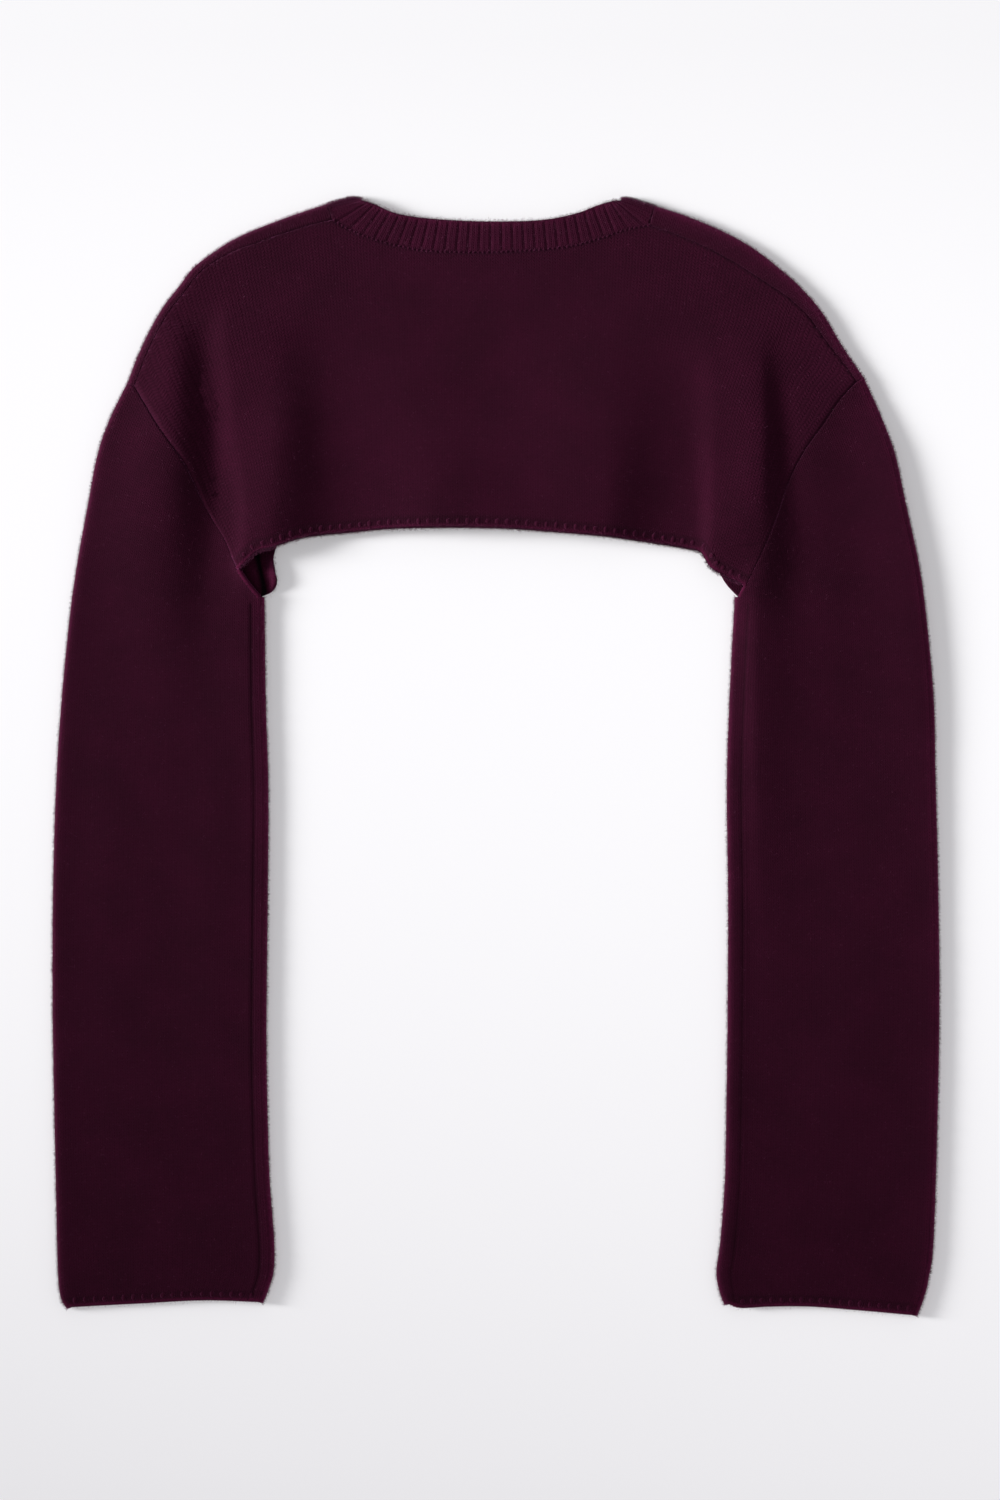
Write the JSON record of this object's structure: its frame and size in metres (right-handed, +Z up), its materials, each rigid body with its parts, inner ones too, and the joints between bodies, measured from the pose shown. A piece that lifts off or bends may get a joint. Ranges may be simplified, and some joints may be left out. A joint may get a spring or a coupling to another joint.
{
  "type": "cropped sweater",
  "caption": "Cropped knitted sweater laid flat with its back up: wide ribbed neckline, dropped shoulders, very short body and long straight sleeves.",
  "frame": {"origin": "on the surface that the garment lies on, under the middle of its outline", "axes": "+Y from the cuffs towards the neck, +X to the right as it is seen from above, +Z up through the cloth"},
  "size_m": [0.6821, 0.8614, 0.0084],
  "materials": {
    "knit_back": "soft brushed wool",
    "knit_front": "soft brushed wool",
    "knit_sleeve": "soft brushed wool",
    "rib_knit": "soft brushed wool"
  },
  "bodies": {
    "root": {"back_panel": "knit_back", "front_panel": "knit_front", "sleeve_left": "knit_sleeve", "sleeve_right": "knit_sleeve", "neckband": "rib_knit"}
  },
  "joints": []
}
